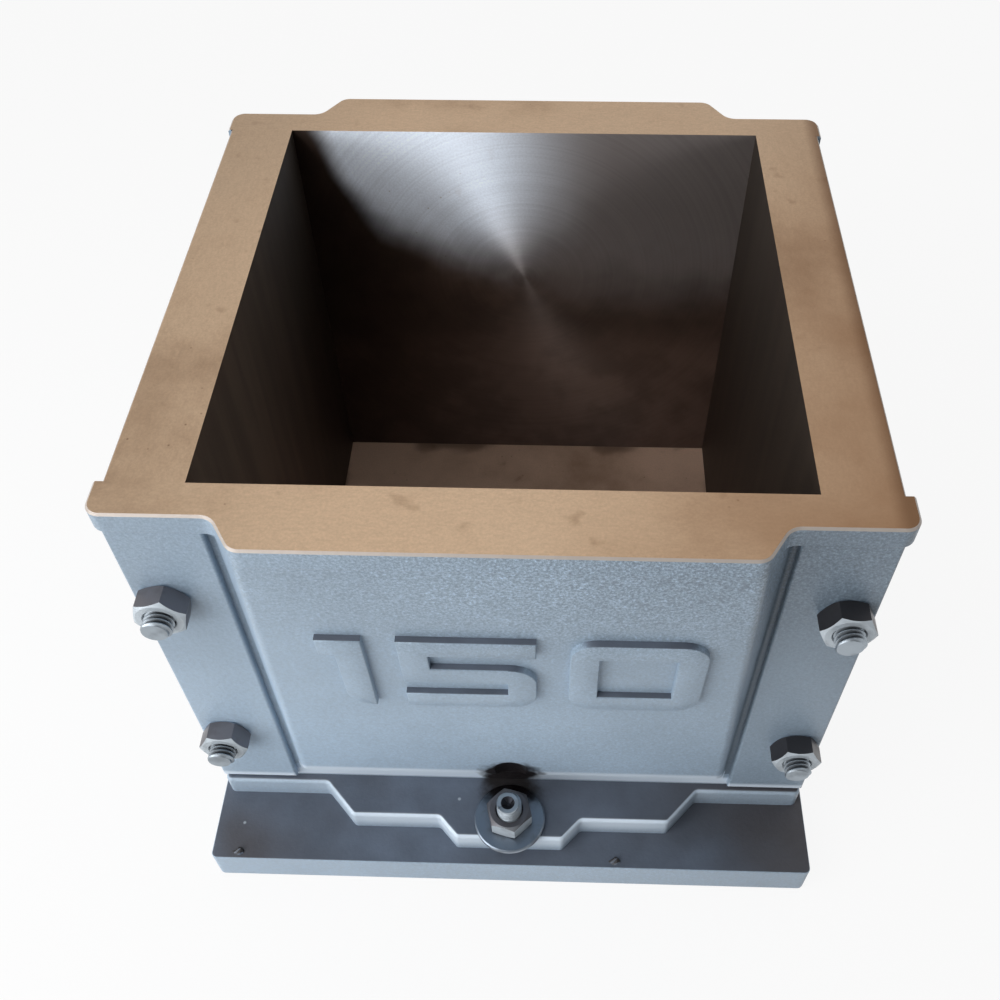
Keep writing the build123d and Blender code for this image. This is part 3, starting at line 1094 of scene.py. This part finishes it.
class MOULD_OT_thread_studs(bpy.types.Operator):
    """Replaces the plain studs with threaded ones"""

    bl_idname = "mould.thread_studs"
    bl_label = "Thread Studs"

    def execute(self, context):
        steel = context.scene.mould_steel
        plated = stud_material("Plated Thread", steel, steel.thread, dirt=0.3, roughness=0.42)
        # Painted shade for the thread's grooves, undersides and centre mark.
        groove_shade_steel = stud_material("Thread Groove", steel, steel.groove, dirt=0.5, roughness=0.5)
        for start, upright in (("corner_stud", False), ("base_stud", True)):
            studs = nodes_named(start)
            low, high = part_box(next(iter(studs)))
            length = high.z - low.z if upright else high.y - low.y
            radius = (high.x - low.x) / 2
            model = make_threaded_rod(f"{start}_model", steel, radius, length)
            if upright:
                sink_centre_mark(model, length, radius, steel.dimple)
            coat(model, plated)
            model.data.materials.append(groove_shade_steel)
            shade_thread_grooves(model, steel, radius, length)
            for name in studs:
                piece = place_copy(model, f"threaded_{name}", *stud_stand(name, upright))
                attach(piece, body_of(name))
                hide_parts(name)
            discard(model)
        return {"FINISHED"}


class MOULD_OT_raise_figures(bpy.types.Operator):
    """Casts the cavity size in raised figures on both end walls"""

    bl_idname = "mould.raise_figures"
    bl_label = "Raise Figures"

    def execute(self, context):
        figures = context.scene.mould_figures
        model = make_figures("figures_model", figures)
        coat(model, figure_material("Figure Enamel", context.scene.mould_paint))
        for body, facing in (("front_wall", -1), ("back_wall", 1)):
            place, normal = on_panel(body, facing, -facing * figures.shift, rim_height - figures.middle)
            right = Vector((-facing, 0, 0))
            turn = Matrix((right, normal.cross(right), normal)).transposed().to_euler()
            piece = place_copy(model, f"{body}_figures", turn, place)
            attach(piece, body)
        discard(model)
        return {"FINISHED"}


class MOULD_OT_set_stage(bpy.types.Operator):
    """Sets the camera, the floor and the lamps"""

    bl_idname = "mould.set_stage"
    bl_label = "Set Stage"

    def execute(self, context):
        stage = context.scene.mould_stage
        self.set_camera(context.scene, stage)
        self.lay_floor(stage)
        self.hang_lamps(stage)
        self.light_room(context.scene, stage)
        context.scene.view_settings.view_transform = "Standard"
        return {"FINISHED"}

    def set_camera(self, scene, stage):
        """The camera at the photograph's place."""
        level = math.cos(stage.pitch)
        forward = Vector(
            (math.sin(stage.heading) * level, math.cos(stage.heading) * level, -math.sin(stage.pitch))
        )
        right = Vector((math.cos(stage.heading), -math.sin(stage.heading), 0))
        up = right.cross(forward)
        tilted_right = math.cos(stage.roll) * right + math.sin(stage.roll) * up
        tilted_up = math.cos(stage.roll) * up - math.sin(stage.roll) * right
        clear_selection()
        bpy.ops.object.camera_add()
        camera = bpy.context.object
        turn = Matrix((tilted_right, tilted_up, -forward)).transposed().to_4x4()
        camera.matrix_world = Matrix.Translation(stage.eye) @ turn
        camera.data.lens = stage.lens
        camera.data.sensor_width = stage.sensor
        camera.data.shift_x, camera.data.shift_y = stage.shift
        camera.data.clip_start = 10 * mm
        scene.camera = camera

    def lay_floor(self, stage):
        """A pale floor that shows white and keeps the mould's shadow."""
        clear_selection()
        bpy.ops.mesh.primitive_circle_add(vertices=64, radius=stage.floor_radius, fill_type="NGON")
        floor = bpy.context.object
        floor.name = "floor"
        material, tree = new_material("Pale Floor")
        pale = new_field(tree, "ShaderNodeBsdfDiffuse", {"Color": (stage.floor_tone,) * 3})
        white = new_field(tree, "ShaderNodeEmission", {"Color": (1, 1, 1), "Strength": 1.0})
        show(tree, (seen_rays(tree) * stage.white).cover(pale, white))
        coat(floor, material)

    def hang_lamps(self, stage):
        """Three soft lamps at the left: a large one in front, a small one low down, a spot into the mould."""
        middle = (0, 0, rim_height / 2)
        far_wall = (-30 * mm, cavity_half, rim_height - 25 * mm)
        cone = {"shadow_soft_size": stage.spot_radius, "spot_size": stage.spot_cone, "spot_blend": 1.0}
        for name, kind, place, target, power, shape in (
            ("key_lamp", "AREA", stage.key_place, middle, stage.key, {"size": stage.key_size}),
            ("side_lamp", "AREA", stage.side_place, middle, stage.side, {"size": stage.side_size}),
            ("spot_lamp", "SPOT", stage.spot_place, far_wall, stage.spot, cone),
        ):
            clear_selection()
            aim = (Vector(target) - place).to_track_quat("-Z", "Y").to_euler()
            bpy.ops.object.light_add(type=kind, location=place, rotation=aim)
            lamp = bpy.context.object
            lamp.name = name
            lamp.data.energy = power
            for setting, value in shape.items():
                setattr(lamp.data, setting, value)

    def light_room(self, scene, stage):
        """A room lit from behind and overhead, which shows white along the horizon."""
        world = bpy.data.worlds.new("Studio")
        world.use_nodes = True
        tree = world.node_tree
        tree.nodes.clear()
        way = coordinate(tree, "Generated").parts()
        low = way.z.ramp(0.0, 0.6, stage.horizon, 0.0) * way.x.ramp(-0.5, 0.9, 1.15, 0.6)
        wall = way.y.ramp(0.0, 0.4) * way.z.ramp(0.2, 0.5) * stage.behind
        overhead = way.z.ramp(0.5, 0.9, 0.0, stage.zenith)
        white = seen_rays(tree) * way.z.ramp(0.25, 0.5, stage.sky, 0.0)
        glow = (low + wall + overhead).larger(white)
        sky = new_field(tree, "ShaderNodeBackground", {"Color": (1, 1, 1), "Strength": glow})
        add_node(tree, "ShaderNodeOutputWorld", {"Surface": sky})
        scene.world = world


class MOULD_PT_finish(bpy.types.Panel):
    """Sidebar panel with every step of the finish"""

    bl_idname = "MOULD_PT_finish"
    bl_label = "Cube Mould"
    bl_space_type = "VIEW_3D"
    bl_region_type = "UI"
    bl_category = "Cube Mould"

    def draw(self, context):
        for settings_name in settings_groups:
            box = self.layout.box()
            settings = getattr(context.scene, settings_name)
            for prop in settings.bl_rna.properties:
                if prop.identifier not in ("rna_type", "name"):
                    box.prop(settings, prop.identifier)
        for step in operators:
            self.layout.operator(step.bl_idname)


settings_groups = {
    "mould_paint": MouldPaint,
    "mould_iron": MouldIron,
    "mould_steel": MouldSteel,
    "mould_figures": MouldFigures,
    "mould_burrs": MouldBurrs,
    "mould_stage": MouldStage,
}
operators = (
    MOULD_OT_finish_walls,
    MOULD_OT_finish_base,
    MOULD_OT_finish_nuts,
    MOULD_OT_thread_studs,
    MOULD_OT_raise_figures,
    MOULD_OT_set_stage,
)


def register():
    """Adds the settings, the operators and the panel."""
    for name, group in settings_groups.items():
        bpy.utils.register_class(group)
        setattr(bpy.types.Scene, name, PointerProperty(type=group))
    for step in (*operators, MOULD_PT_finish):
        bpy.utils.register_class(step)


def unregister():
    """Takes them away again."""
    for step in reversed((*operators, MOULD_PT_finish)):
        bpy.utils.unregister_class(step)
    for name, group in reversed(settings_groups.items()):
        delattr(bpy.types.Scene, name)
        bpy.utils.unregister_class(group)


def main():
    """Runs every step in order."""
    register()
    bpy.ops.mould.finish_walls()
    bpy.ops.mould.finish_base()
    bpy.ops.mould.finish_nuts()
    bpy.ops.mould.thread_studs()
    bpy.ops.mould.raise_figures()
    bpy.ops.mould.set_stage()


if __name__ == "__main__":
    main()
